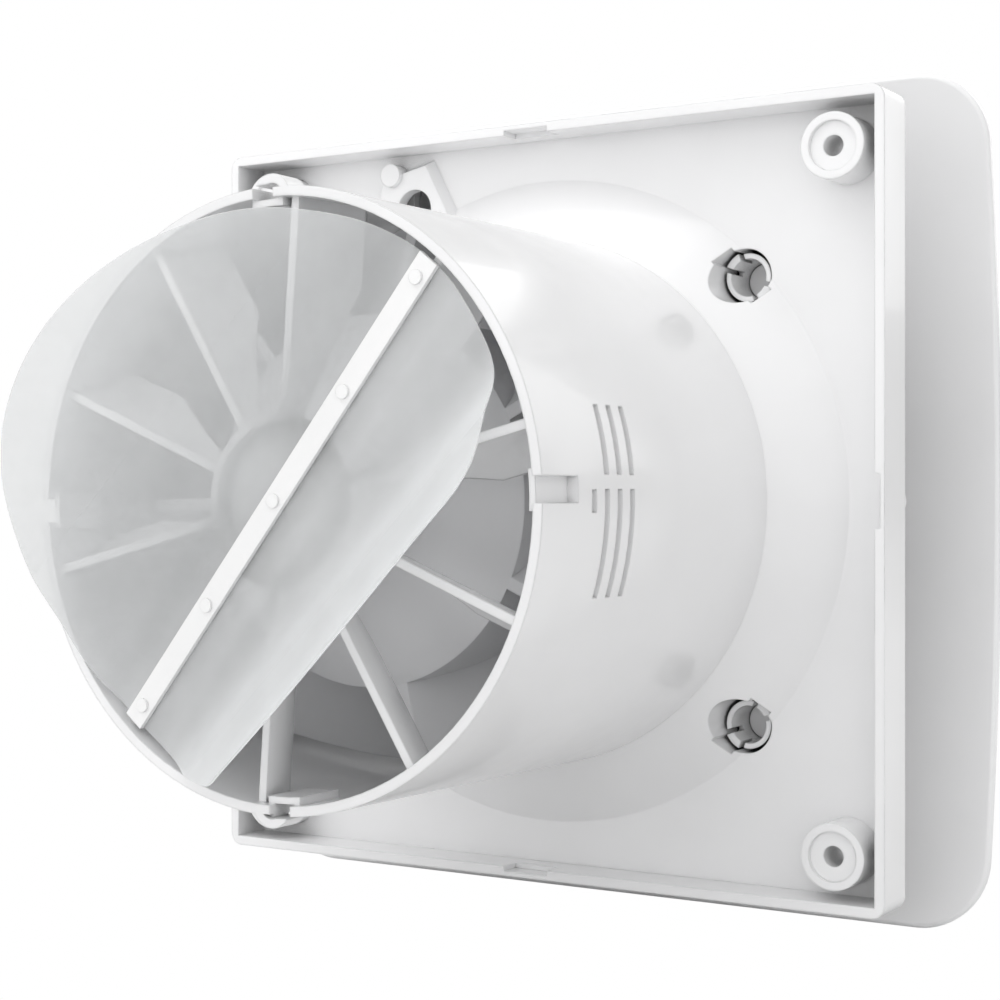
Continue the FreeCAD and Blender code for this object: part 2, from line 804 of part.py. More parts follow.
def film_sheet(name, slabs):
    """Part of the film disc, flat, as the disc's overlap with slabs given as (near, far, bearing)."""
    bottom = dim.film_middle - dim.film_thickness / 2
    disc = cylinder(name + "_disc", dim.film_radius, bottom, dim.film_thickness)
    sheets = [disc]
    for near, far, at in slabs:
        slab = block(name + "_slab", near, bottom - 1, -dim.film_radius, far - near, 3, dim.film_radius * 2)
        sheets.append(turned_copy(slab, at))
    return shared(name, sheets)


def film_clamped_strip():
    half = dim.film_clamped - dim.film_gap
    strip = film_sheet("film_strip", [(-half, half, dim.bar_bearing + 90)])
    holes = []
    for number in range(-2, 3):
        spot = bearing(dim.bar_bearing.value, number * dim.pin_pitch.value)
        holes.append(cylinder("film_hole", dim.pin_radius + 0.04, dim.film_middle - 1, 2, spot.x, spot.z))
    piece(less("film_clamped_strip", strip, joined("film_holes", holes)), "film_clamped_strip")


def lift(distance, at, angle):
    """The turn that lifts a flap about the crease this far from the axis, at this bearing."""
    outward = bearing(at, 1)
    crease = outward * distance + Vector(0, dim.film_middle.value, 0)
    return Placement(Vector(), Rotation(outward.cross(Vector(0, 1, 0)), angle), crease)


def flap(side, away):
    """Three strips of film, hinged in a row from the bar outwards; away is the bearing they lie at."""
    gap = dim.film_gap
    turned_away = away - dim.crease_turn
    edge = dim.film_radius + 1
    strips = [
        ("root", [(dim.film_clamped + gap, edge, away), (-edge, dim.first_crease - gap, turned_away)]),
        ("middle", [(dim.first_crease + gap, dim.second_crease - gap, turned_away)]),
        ("tip", [(dim.second_crease + gap, edge, turned_away)]),
    ]
    creases = [(dim.film_clamped, away), (dim.first_crease, turned_away), (dim.second_crease, turned_away)]
    pose = Placement()
    for (name, slabs), (distance, at) in zip(strips, creases):
        label = "%s_flap_%s" % (side, name)
        angle = getattr(dim, "%s_%s_lift" % (side, name))
        pose = pose * lift(distance.value, at.value, angle.value)
        strip = film_sheet(label, slabs)
        strip.Placement = pose
        piece(strip, label)


# ---------------------------------------------------------------- impeller

def blade(hub_inside):
    """One blade: radial rulings, swept about the axis from its back edge to its front edge."""
    depth = (dim.blade_back - dim.blade_front).value
    steps = 6

    def sweep(along):
        return dim.blade_twist.value * along + dim.blade_camber.value * along * along

    def section(x):
        sides = []
        for half in (-dim.blade_thickness.value / 2, dim.blade_thickness.value / 2):
            points = []
            for step in range(steps + 1):
                along = depth * step / steps
                taper = 1 - 0.45 * step / steps
                slope = dim.blade_twist.value + 2 * dim.blade_camber.value * along
                lean = math.atan(math.radians(slope) * dim.blade_tip.value * 0.8)
                turn = math.radians(sweep(along) - sweep(depth) / 2)
                shift = half * taper / math.cos(lean) / math.cos(turn)
                points.append(Vector(x, dim.blade_back.value - along, -(x * math.tan(turn) + shift)))
            sides.append(points)
        edges = [Part.BSplineCurve(), Part.BSplineCurve()]
        edges[0].interpolate(sides[0])
        edges[1].interpolate(sides[1])
        return Part.Wire([
            edges[0].toShape(), Part.LineSegment(sides[0][-1], sides[1][-1]).toShape(),
            edges[1].toShape(), Part.LineSegment(sides[1][0], sides[0][0]).toShape(),
        ])

    solid = Part.makeLoft([section(hub_inside * 0.5), section(dim.blade_tip.value + 2)], True, True)
    axis = Vector(0, 1, 0)
    tube = Part.makeCylinder(dim.blade_tip.value, depth, Vector(0, dim.blade_front.value, 0), axis)
    core = Part.makeCylinder(hub_inside, depth, Vector(0, dim.blade_front.value, 0), axis)
    return solid.common(tube.cut(core)), sweep(depth) / 2


def impeller():
    """Domed hub cup with its boss, and seven blades around it."""
    hub = body("impeller_hub")
    rise = dim.dome_height
    outer = dim.hub_radius
    inner = dim.hub_radius - dim.hub_wall
    curve = (outer.value ** 2 + rise.value ** 2) / (2 * rise.value)
    boss = dim.hub_boss_radius
    bore = dim.shaft_radius + dim.running_gap
    top = dim.blade_back + rise
    turned(hub, [
        (0, top), (0, dim.shaft_back + 0.3), (bore, dim.shaft_back + 0.3), (bore, dim.hub_boss_front),
        (boss, dim.hub_boss_front), (boss, top - dim.hub_wall - 0.2), (inner, dim.blade_back - 1.2),
        (inner, dim.blade_front), (outer, dim.blade_front), (outer, dim.blade_back),
    ], {5: -curve, 9: curve})
    solid, half_sweep = blade(inner.value + 0.6)
    parts = [hub]
    for number in range(int(dim.blade_count.value)):
        copy = doc.addObject("Part::Feature", "blade")
        copy.Shape = solid
        copy.Placement = about_axis(dim.blade_bearing.value + half_sweep - 180
                                    - 360 * number / dim.blade_count.value)
        parts.append(copy)
    piece(joined("impeller", parts), "impeller")


def impeller_clip():
    """Spring ring that squeezes the hub's boss on to the shaft."""
    start = dim.hub_boss_front + 1
    inside = dim.hub_boss_radius + dim.running_gap
    piece(ring("impeller_clip", inside, inside + dim.clip_thickness, start, start + dim.clip_width),
          "impeller_clip")


# ---------------------------------------------------------------- motor

def screw(name, under_head, length, shank, head, head_height, x, z):
    """A screw driven towards +Y, its head on the room side, with a cross recess left out."""
    return joined(name, [
        cylinder(name + "_shank", shank, under_head - 0.1, length + 0.1, x, z),
        cylinder(name + "_head", head, under_head - head_height, head_height, x, z),
    ])


def motor_shells():
    """Two drawn shells with a bearing seat each, bored for the tie screws, mounts and leads."""
    wall = dim.motor_shell
    seat = dim.bearing_radius + dim.running_gap
    outer = dim.motor_radius
    hole = dim.shaft_radius + 1
    lip = wall + 0.8
    tie_circle = dim.tie_screw_circle
    core_half = dim.core_width / 2
    ties = [bearing(45 + 90 * number, tie_circle.value) for number in range(4)]

    def shell(name, end, split, inward):
        """end is the closed face, and inward is +1 when the shell opens towards +Y."""
        owner = body(name)
        turned(owner, [
            (hole, end), (hole, end + lip * inward), (seat, end + lip * inward),
            (seat, end + (lip + dim.bearing_width) * inward),
            (seat + 1.6, end + (lip + dim.bearing_width) * inward), (seat + 1.6, end + wall * inward),
            (outer - wall, end + wall * inward), (outer - wall, split), (outer, split), (outer, end),
        ])
        return owner

    front = shell("front_shell", dim.motor_front, dim.motor_split, 1)
    rear = shell("rear_shell", dim.motor_back, dim.motor_split, -1)
    core_front = dim.core_middle - core_half
    core_back = dim.core_middle + core_half
    front_posts, rear_posts, front_holes, rear_holes = [], [], [], []
    for spot in ties:
        start = dim.motor_front + wall / 2
        front_posts.append(cylinder("tie_post", 2.4, start, core_front - start - 0.05, spot.x, spot.z))
        length = dim.motor_back - wall / 2 - core_back - 0.05
        rear_posts.append(cylinder("tie_post", 2.4, core_back + 0.05, length, spot.x, spot.z))
        front_holes.append(cylinder("tie_hole", dim.tie_screw_radius + 0.1, dim.motor_front - 1, 30,
                                    spot.x, spot.z))
        rear_holes.append(cylinder("tie_hole", dim.tie_screw_radius + 0.05, core_back - 1, 7, spot.x, spot.z))
    for at in mount_bearings():
        spot = bearing(at, dim.mount_circle.value)
        front_posts.append(cylinder("mount_post", 2.6, dim.motor_front + wall / 2, 4.6, spot.x, spot.z))
        front_holes.append(cylinder("mount_hole", dim.foot_screw_radius + 0.04, dim.motor_front - 1, 4.8,
                                    spot.x, spot.z))
    lead_x, lead_z = lead_start()
    front_holes.append(cylinder("lead_hole", 2.4, dim.motor_front - 1, 4, lead_x, lead_z))
    piece(less("motor_shell_front", joined("front_solid", [front] + front_posts),
               joined("front_holes", front_holes)), "motor_shell_front")
    piece(less("motor_shell_rear", joined("rear_solid", [rear] + rear_posts),
               joined("rear_holes", rear_holes)), "motor_shell_rear")
    screws = [screw("tie_screw", dim.motor_front - 0.02, 33, dim.tie_screw_radius, 2.6, 1.6, spot.x, spot.z)
              for spot in ties]
    piece(grouped("tie_screws", screws), "tie_screws")


def mount_bearings():
    return [30, 150, 270]


def lead_start():
    """Where the leads leave the motor."""
    return 5.6, 11.5


def bearings():
    lip = dim.motor_shell + 0.8
    bore = dim.shaft_radius + dim.running_gap
    front = dim.motor_front + lip + 0.02
    rear = dim.motor_back - lip - 0.02
    piece(ring("front_bearing", bore, dim.bearing_radius, front, front + dim.bearing_width - 0.04),
          "front_bearing")
    piece(ring("rear_bearing", bore, dim.bearing_radius, rear - dim.bearing_width + 0.04, rear),
          "rear_bearing")


def stator():
    """Laminated yoke with four poles, and a coil on each pole."""
    half = dim.core_width / 2
    start = dim.core_middle - half
    yoke_outer = dim.motor_radius - dim.motor_shell - 0.05
    yoke = ring("yoke", dim.yoke_radius, yoke_outer, start, start + dim.core_width)
    pole_start = dim.rotor_radius + dim.air_gap
    pole = block("pole", pole_start - 2, start, -dim.pole_width / 2,
                 dim.yoke_radius - pole_start + 3, dim.core_width, dim.pole_width)
    bore = cylinder("stator_bore", pole_start, start - 1, dim.core_width + 2)
    ties = [cylinder("tie_path", dim.tie_screw_radius + 0.1, start - 1, dim.core_width + 2, spot.x, spot.z)
            for spot in (bearing(45 + 90 * number, dim.tie_screw_circle.value) for number in range(4))]
    core = joined("core_solid", [yoke] + around(pole, int(dim.pole_count.value), 0))
    piece(less("stator_core", core, joined("core_cuts", [bore] + ties)), "stator_core")

    wire = dim.coil_thickness
    coil_start = pole_start + 1.2
    reach = dim.yoke_radius - 1.3 - coil_start
    outside = block("coil_outside", coil_start, start - wire, -dim.pole_width / 2 - wire,
                    reach, dim.core_width + wire * 2, dim.pole_width + wire * 2)
    inside = block("coil_inside", coil_start - 1, start - 0.05, -dim.pole_width / 2 - 0.05,
                   reach + 2, dim.core_width + 0.1, dim.pole_width + 0.1)
    coil = less("coil", outside, inside)
    piece(grouped("stator_coils", around(coil, int(dim.pole_count.value), 0)), "stator_coils")


def rotor():
    half = dim.core_width / 2
    bore = dim.shaft_radius + 0.01
    piece(ring("rotor_core", bore, dim.rotor_radius, dim.core_middle - half, dim.core_middle + half),
          "rotor_core")
    shaft = cylinder("shaft_rod", dim.shaft_radius, dim.shaft_front, dim.shaft_back - dim.shaft_front)
    end = doc.addObject("Part::Chamfer", "motor_shaft")
    end.Base = shaft
    doc.recompute()
    rims = [(number, 0.4, 0.4) for number, edge in enumerate(shaft.Shape.Edges, start=1)
            if edge.BoundBox.YLength < 0.01]
    end.Edges = rims
    piece(end, "motor_shaft")


# ---------------------------------------------------------------- spider, rubber mounts, screws

def spider():
    """Cup behind the room side of the motor, on four arms that stand on the casing's bosses."""
    front = -dim.spider_front
    outer = dim.spider_hub_radius
    inner = outer - dim.spider_wall
    cup = body("spider_cup")
    turned(cup, [
        (6, spider_floor()), (inner, spider_floor()), (inner, front), (outer, front),
        (outer, spider_floor() + dim.spider_wall), (6, spider_floor() + dim.spider_wall),
    ])
    arm = block("spider_arm", inner + 0.5, front, -dim.spider_arm_width / 2,
                dim.spider_reach - inner, dim.spider_arm_thickness, dim.spider_arm_width)
    foot = cylinder("spider_foot", dim.spider_arm_width / 2, front, dim.spider_arm_thickness,
                    dim.spider_reach)
    hole = cylinder("foot_hole", dim.foot_screw_radius, front - 1, dim.spider_arm_thickness + 2,
                    dim.spider_reach)
    holes = around(hole, 4, 0)
    for at in mount_bearings():
        spot = bearing(at, dim.mount_circle.value)
        holes.append(cylinder("mount_hole", 2.55, spider_floor() - 1, 5, spot.x, spot.z))
    lead_x, lead_z = lead_start()
    holes.append(cylinder("lead_hole", 2.6, spider_floor() - 1, 5, lead_x, lead_z))
    limb = joined("spider_limb", [arm, foot])
    piece(less("motor_spider", joined("spider_solid", [cup] + around(limb, 4, 0)),
               joined("spider_holes", holes)), "motor_spider")
    screws = [screw("foot_screw", front - 0.02, 5.2, 1.2, 2.6, 1.5, x.value, z.value)
              for x, z in spider_feet()]
    piece(grouped("foot_screws", screws), "foot_screws")


def spider_floor():
    return dim.motor_front - 3.5 - dim.spider_wall


def rubber_mounts():
    """Three grommets in the spider's floor, that the motor stands on, and their screws."""
    grommets, screws = [], []
    floor = spider_floor()
    for at in mount_bearings():
        spot = bearing(at, dim.mount_circle.value)
        solid = joined("grommet_solid", [
            cylinder("grommet_back", dim.mount_radius, floor + dim.spider_wall + 0.02, 3.46, spot.x, spot.z),
            cylinder("grommet_neck", 2.5, floor - 1, dim.spider_wall + 2, spot.x, spot.z),
            cylinder("grommet_front", dim.mount_radius, floor - 1.52, 1.5, spot.x, spot.z),
        ])
        bore = cylinder("grommet_bore", dim.foot_screw_radius + 0.05, floor - 3, 12, spot.x, spot.z)
        grommets.append(less("grommet", solid, bore))
        screws.append(screw("mount_screw", floor - 1.54, 10.2, dim.foot_screw_radius, 2.8, 1.6,
                            spot.x, spot.z))
    piece(grouped("rubber_mounts", grommets), "rubber_mounts")
    piece(grouped("mount_screws", screws), "mount_screws")


# ---------------------------------------------------------------- terminal box fittings

def box_lid():
    """Lid of the terminal box, with the box's own curved edge, and its screw."""
    low = dim.box_arc * 0.82
    front = -dim.box_front - dim.box_wall
    whole = block("lid_blank", dim.box_left, front, low, dim.box_right - dim.box_left,
                  dim.box_wall - 0.02, dim.box_top - low)
    arc = cylinder("lid_arc", dim.box_arc, front - 1, dim.box_wall + 2)
    x, z = lid_screw_place()
    hole = cylinder("lid_hole", 1.6, front - 1, 4, x, z)
    piece(less("box_lid", whole, joined("lid_cuts", [arc, hole])), "box_lid")
    piece(screw("lid_screw", front - 0.02, 8, 1.2, 2.6, 1.5, x, z), "lid_screw")


def terminals():
    """Terminal block with a screw over each way, on the floor of the box."""
    floor = -dim.plate_setback - dim.plate_thickness
    x = dim.box_left + dim.box_wall + 1
    z = dim.box_top - dim.box_wall - dim.block_height - 0.5
    body_block = block("block_body", x, floor - dim.block_depth, z, dim.block_width,
                       dim.block_depth - 0.02, dim.block_height)
    wells, screws = [], []
    ways = 3
    for number in range(ways):
        spot = x + dim.block_width / ways * (number + 0.5)
        middle = z + dim.block_height / 2
        wells.append(cylinder("well", dim.terminal_screw_radius + 0.1, floor - dim.block_depth - 1, 4.5,
                              spot, middle))
        screws.append(cylinder("terminal_screw", dim.terminal_screw_radius, floor - dim.block_depth + 0.6,
                               2.5, spot, middle))
    piece(less("terminal_block", body_block, joined("wells", wells)), "terminal_block")
    piece(grouped("terminal_screws", screws), "terminal_screws")


def cable_clamp():
    """Saddle bar on the two clamp posts, and its screws."""
    floor = -dim.plate_setback - dim.plate_thickness
    front = floor - 4 - 2.02
    (x, low), (x, high) = clamp_screw_places()
    bar = block("clamp_blank", x - 2.6, front, low - 2.6, 5.2, 2, high - low + 5.2)
    holes = [cylinder("clamp_hole", 1.5, front - 1, 4, x, z) for z in (low, high)]
    piece(less("cable_clamp", bar, joined("clamp_holes", holes)), "cable_clamp")
    screws = [screw("clamp_screw", front - 0.02, 5.4, 1.2, 2.3, 1.4, x, z) for z in (low, high)]
    piece(grouped("clamp_screws", screws), "clamp_screws")


def motor_leads():
    """Two insulated leads, from the motor through the spider and up beside its arm to the box."""
    lead_x, lead_z = lead_start()
    forward = -dim.spider_front.value - 1.4
    end = dim.box_left.value + dim.box_wall.value + 0.95
    top = dim.box_top.value - 5
    radius = dim.lead_radius.value
    shapes = []
    for side in (-1, 1):
        x = lead_x + side * dim.lead_pitch.value / 2
        z = top - side * dim.lead_pitch.value / 2
        corners = [Vector(x, 5.6, lead_z), Vector(x, forward, lead_z), Vector(x, forward, z),
                   Vector(end, forward, z)]
        shapes.append(bent_rod(corners, radius, 1.8))
    leads = doc.addObject("Part::Feature", "motor_leads")
    leads.Shape = Part.makeCompound(shapes)
    piece(leads, "motor_leads")


def bent_rod(corners, radius, bend):
    """A round rod along a path whose inner corners are rounded to the bend radius."""
    edges = []
    start = corners[0]
    for before, corner, after in zip(corners, corners[1:], corners[2:]):
        into = (before - corner).normalize()
        out = (after - corner).normalize()
        begin = corner + into * bend
        finish = corner + out * bend
        centre = corner + (into + out) * bend
        middle = centre - (into + out).normalize() * bend
        edges.append(Part.LineSegment(start, begin).toShape())
        edges.append(Part.Arc(begin, middle, finish).toShape())
        start = finish
    edges.append(Part.LineSegment(start, corners[-1]).toShape())
    path = Part.Wire(edges)
    section = Part.Wire(Part.makeCircle(radius, corners[0], corners[1] - corners[0]))
    return path.makePipeShell([section], True, False)


# ---------------------------------------------------------------- front panel

def rounded(sheet_part, radius):
    """The panel's sheet with both rims rounded; the edges across its thickness stay as they are."""
    doc.recompute()
    fillet = doc.addObject("Part::Fillet", "rounded_sheet")
    fillet.Base = sheet_part
    longest_short_edge = dim.panel_thickness.value * 2
    fillet.Edges = [(number, radius.value, radius.value)
                    for number, edge in enumerate(sheet_part.Shape.Edges, start=1)
                    if edge.BoundBox.DiagonalLength > longest_short_edge]
    return fillet


def front_panel():
    """Bowed square panel with four studs that push into the collets."""
    half = dim.panel_height / 2
    edge = -dim.panel_edge
    curve = (half.value ** 2 + dim.panel_bow.value ** 2) / (2 * dim.panel_bow.value)
    bowed = body("bowed_sheet")
    section = sketch_on(bowed, "YZ_Plane", -dim.panel_width / 2)
    polygon(section, [
        (edge, half), (edge, -half), (edge - dim.panel_thickness, -half), (edge - dim.panel_thickness, half),
    ], {0: curve, 2: -curve})
    sheet_pad = bowed.newObject("PartDesign::Pad", "sheet_pad")
    sheet_pad.Profile = section
    bind(sheet_pad, "Length", dim.panel_width)

    outline = body("panel_outline")
    shape = across(outline, -dim.panel_edge - dim.panel_bow - dim.panel_thickness - 5)
    wide, high, corner = dim.panel_width / 2, dim.panel_height / 2, dim.panel_corner
    polygon(shape, [
        (-wide + corner, -high), (wide - corner, -high), (wide, -high + corner), (wide, high - corner),
        (wide - corner, high), (-wide + corner, high), (-wide, high - corner), (-wide, -high + corner),
    ], {1: corner, 3: corner, 5: corner, 7: corner})
    pad(outline, shape, 30)
    sheet_part = rounded(shared("panel_sheet", [bowed, outline]), dim.panel_rounding)
    depth = dim.panel_edge + dim.panel_bow * 0.75 + 0.8
    studs = []
    for x, z in four_corners(dim.collet_across, dim.collet_up):
        studs.append(cylinder("stud", dim.stud_neck, -depth, depth - dim.stud_tip, x, z))
        head_start = -dim.stud_tip - dim.stud_head
        studs.append(cylinder("stud_head", dim.stud_radius, head_start, dim.stud_head, x, z))
    piece(joined("front_panel", [sheet_part] + studs), "front_panel")


# ---------------------------------------------------------------- the whole fan

casing()
front_panel()
valve_bar()
valve_pins()
film_clamped_strip()
flap("left", dim.bar_bearing + 90)
flap("right", dim.bar_bearing - 90)
impeller()
impeller_clip()
rotor()
bearings()
stator()
motor_shells()
spider()
rubber_mounts()
box_lid()
terminals()
cable_clamp()
motor_leads()

doc.recompute()
for thing in doc.Objects:
    if "Invalid" in thing.State or "Error" in thing.State:
        raise ValueError("%s (%s) failed: %s" % (thing.Label, thing.Name, thing.getStatusString()))
for thing in PIECES:
    if thing.Shape.isNull() or not thing.Shape.isValid() or not thing.Shape.Solids:
        raise ValueError("%s has no valid solid" % thing.Label)

os.makedirs("parts", exist_ok=True)
for thing in PIECES:
    thing.Shape.exportStep("parts/%s.step" % thing.Label)
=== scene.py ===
"""Looks of the bathroom extractor fan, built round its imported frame.

The frame gives every moulded and metal part. This script adds the backdraught valve's thin film, which
bends smoothly from hinge to hinge, and every material, then the floor, the light and the camera.
"""

import json
import math

import bmesh
import bpy
from mathutils import Matrix, Vector


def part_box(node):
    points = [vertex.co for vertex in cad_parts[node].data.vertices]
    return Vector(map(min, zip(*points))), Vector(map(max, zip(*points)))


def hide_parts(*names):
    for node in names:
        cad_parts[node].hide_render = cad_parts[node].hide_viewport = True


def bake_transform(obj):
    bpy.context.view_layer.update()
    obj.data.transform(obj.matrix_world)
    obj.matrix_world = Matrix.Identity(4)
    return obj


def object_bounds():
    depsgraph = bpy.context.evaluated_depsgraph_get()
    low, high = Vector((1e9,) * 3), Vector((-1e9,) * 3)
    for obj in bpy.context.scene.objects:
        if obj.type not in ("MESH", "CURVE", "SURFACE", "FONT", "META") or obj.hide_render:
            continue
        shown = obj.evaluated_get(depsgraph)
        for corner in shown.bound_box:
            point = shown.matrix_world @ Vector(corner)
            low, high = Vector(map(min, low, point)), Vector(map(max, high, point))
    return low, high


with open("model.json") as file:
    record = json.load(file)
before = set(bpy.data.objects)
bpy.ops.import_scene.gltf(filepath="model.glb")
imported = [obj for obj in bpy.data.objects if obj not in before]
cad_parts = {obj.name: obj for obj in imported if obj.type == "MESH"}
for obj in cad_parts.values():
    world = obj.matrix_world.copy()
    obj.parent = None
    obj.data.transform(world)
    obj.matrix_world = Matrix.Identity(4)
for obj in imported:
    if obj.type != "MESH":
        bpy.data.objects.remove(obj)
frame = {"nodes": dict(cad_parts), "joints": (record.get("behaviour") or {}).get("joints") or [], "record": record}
cad_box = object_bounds()
record = frame["record"]
nodes = frame["nodes"]
joints = {joint["name"]: joint for joint in frame["joints"]}

MM = 0.001
REAR = Vector((0, 1, 0))
# painted shade: the dark grey that narrow holes and crevices are painted towards
PAINTED_HOLE_SHADE = (0.06, 0.06, 0.06, 1.0)
HOLE_SHUT = 0.04      # share of open space at which a hole's painted shade is at its darkest
HOLE_OPEN = 0.19      # share of open space from which a surface gets no painted shade


# ---------------------------------------------------------------- node materials

class Shader:
    """A node material under construction, with a short name for each step."""

    def __init__(self, name):
        self.material = bpy.data.materials.new(name)
        self.material.use_nodes = True
        self.tree = self.material.node_tree
        self.tree.nodes.clear()
        self.output = self.add("ShaderNodeOutputMaterial")
        self.surface = self.add("ShaderNodeBsdfPrincipled")
        self.link(self.surface, "BSDF", self.output, "Surface")
        self.place = self.add("ShaderNodeTexCoord").outputs["Object"]

    def add(self, kind, **settings):
        node = self.tree.nodes.new(kind)
        for name, value in settings.items():
            setattr(node, name, value)
        return node

    def link(self, source, output, target, socket):
        self.tree.links.new(source.outputs[output], target.inputs[socket])

    def set(self, **values):
        """Fixed values of the surface, by the socket's name with _ for a space."""
        for name, value in values.items():
            self.surface.inputs[name.replace("_", " ")].default_value = value

    def stretched(self, scale):
        """The object's own coordinates, stretched differently along each axis."""
        mapping = self.add("ShaderNodeMapping")
        self.tree.links.new(self.place, mapping.inputs["Vector"])
        mapping.inputs["Scale"].default_value = scale
        return mapping.outputs["Vector"]

    def noise(self, size, detail=3.0, place=None):
        """Noise whose blotches are about this size, in metres."""
        texture = self.add("ShaderNodeTexNoise")
        texture.inputs["Scale"].default_value = 1.0 / size
        texture.inputs["Detail"].default_value = detail
        self.tree.links.new(place or self.place, texture.inputs["Vector"])
        return texture.outputs["Fac"]

    def bands(self, pitch, axis, distortion=0.0):
        """Soft bands across one axis, one every pitch metres."""
        texture = self.add("ShaderNodeTexWave", bands_direction=axis)
        texture.inputs["Scale"].default_value = math.pi / 10 / pitch
        texture.inputs["Distortion"].default_value = distortion
        self.tree.links.new(self.place, texture.inputs["Vector"])
        return texture.outputs["Fac"]

    def remap(self, value, low, high, start=0.3, end=0.7):
        """A number between low and high, as the value goes from start to end, and held at either end."""
        node = self.add("ShaderNodeMapRange")
        node.inputs["From Min"].default_value = start
        node.inputs["From Max"].default_value = end
        node.inputs["To Min"].default_value = low
        node.inputs["To Max"].default_value = high
        self.tree.links.new(value, node.inputs["Value"])
        return node.outputs["Result"]

    def mix(self, factor, first, second):
        """Colour between two, where each may be a colour or another node's output."""
        node = self.add("ShaderNodeMix", data_type="RGBA")
        self.tree.links.new(factor, node.inputs["Factor"])
        for socket, value in (("A", first), ("B", second)):
            target = [item for item in node.inputs if item.name == socket and item.type == "RGBA"][0]
            if isinstance(value, tuple):
                target.default_value = value
            else:
                self.tree.links.new(value, target)
        return [item for item in node.outputs if item.type == "RGBA"][0]

    def math(self, operation, first, second):
        """One step of arithmetic between numbers or other nodes' outputs."""
        node = self.add("ShaderNodeMath", operation=operation)
        for socket, value in zip(node.inputs, (first, second)):
            if isinstance(value, float):
                socket.default_value = value
            else:
                self.tree.links.new(value, socket)
        return node.outputs["Value"]

    def feed(self, socket, value):
        """Drive one socket of the surface by another node's output."""
        self.tree.links.new(value, self.surface.inputs[socket])

    def painted_crevice_shade(self, colour, reach):
        """Painted shade: the colour darkened where other surfaces stand within reach, as deep inside a narrow
        hole.
        """
        open_space = self.add("ShaderNodeAmbientOcclusion", samples=6)
        open_space.inputs["Distance"].default_value = reach
        shadow = self.remap(open_space.outputs["AO"], 1.0, 0.0, HOLE_SHUT, HOLE_OPEN)
        return self.mix(shadow, colour, PAINTED_HOLE_SHADE)

    def bump(self, *layers, edge=0.0):
        """Bump from (height, depth in metres) layers, over edges that shade as if rounded to this radius."""
        normal = None
        if edge:
            bevel = self.add("ShaderNodeBevel", samples=4)
            bevel.inputs["Radius"].default_value = edge
            normal = bevel.outputs["Normal"]
        for height, depth in layers:
            bump = self.add("ShaderNodeBump")
            bump.inputs["Strength"].default_value = 1.0
            bump.inputs["Distance"].default_value = depth
            self.tree.links.new(height, bump.inputs["Height"])
            if normal is not None:
                self.tree.links.new(normal, bump.inputs["Normal"])
            normal = bump.outputs["Normal"]
        self.feed("Normal", normal)


def shade(colour, factor):
    """The colour made darker or lighter, as a full RGBA value."""
    return tuple(min(1.0, channel * factor) for channel in colour[:3]) + (1.0,)


def moulded(name, colour, roughness, coat=0.0, grain=0.35, depth=0.0, edge=0.35, painted_crevice_shade=0.0):
    """Injection-moulded plastic: faint flow marks in colour and gloss, and a fine spark-eroded grain.

    grain, depth, edge and crevices are in millimetres: the grain's size and depth, the radius that edges
    seem to have, and how far the painted shade of narrow holes looks for their other side.
    """
    shader = Shader(name)
    flow = shader.noise(26 * MM, 2.0)
    handling = shader.noise(5 * MM, 4.0)
    tone = shader.mix(shader.remap(flow, 0, 1), shade(colour, 0.975), shade(colour, 1.015))
    # painted shade: the base colour darkened in narrow holes and crevices, standing in for the shade that falls
    # there
    if painted_crevice_shade:
        tone = shader.painted_crevice_shade(tone, painted_crevice_shade * MM)
    shader.feed("Base Color", tone)
    shader.feed("Roughness", shader.remap(handling, roughness * 0.96, roughness * 1.08))
    shader.set(IOR=1.52, Coat_Weight=coat, Coat_Roughness=0.06)
    layers = [(shader.noise(14 * MM, 1.0), 0.03 * MM)]
    if depth:
        layers.append((shader.noise(grain * MM, 2.0), depth * MM))
    shader.bump(*layers, edge=edge * MM)
    return shader.material


def metal(name, colour, roughness, along=None, mottle=0.08, scratch=0.006, edge=0.2):
    """Bare or plated metal. along gives the axis of drawing or grinding lines, when there are any."""
    shader = Shader(name)
    clouds = shader.noise(6 * MM, 3.0)
    tone = shader.mix(shader.remap(clouds, 0, 1), shade(colour, 1 - mottle), shade(colour, 1 + mottle))
    shader.feed("Base Color", tone)
    shader.feed("Roughness", shader.remap(shader.noise(2.5 * MM, 4.0), roughness * 0.7, roughness * 1.3))
    shader.set(Metallic=1.0)
    scale = {None: (1, 1, 1), "X": (0.06, 1, 1), "Y": (1, 0.06, 1), "Z": (1, 1, 0.06)}[along]
    lines = shader.noise(0.25 * MM, 2.0, shader.stretched(scale))
    shader.bump((lines, scratch * MM), edge=edge * MM)
    return shader.material


def laminated(name, colour):
    """Stacked sheets along the shaft, 0.5 mm each, with a burnt varnish tint."""
    shader = Shader(name)
    sheets = shader.bands(0.5 * MM, "Y", 0.4)
    tone = shader.mix(sheets, shade(colour, 0.55), shade(colour, 1.25))
    shader.feed("Base Color", tone)
    shader.feed("Roughness", shader.remap(shader.noise(3 * MM), 0.4, 0.62))
    shader.set(Metallic=0.85)
    shader.bump((sheets, 0.05 * MM))
    return shader.material


def winding(name, colour):
    """Enamelled wire, as fine turns with a glossy varnish."""
    shader = Shader(name)
    turns = shader.bands(0.4 * MM, "DIAGONAL", 1.2)
    tone = shader.mix(turns, shade(colour, 0.35), shade(colour, 1.2))
    shader.feed("Base Color", tone)
    shader.feed("Roughness", shader.remap(shader.noise(2 * MM), 0.22, 0.4))
    shader.set(Metallic=0.6, Coat_Weight=0.5, Coat_Roughness=0.15)
    shader.bump((turns, 0.12 * MM))
    return shader.material


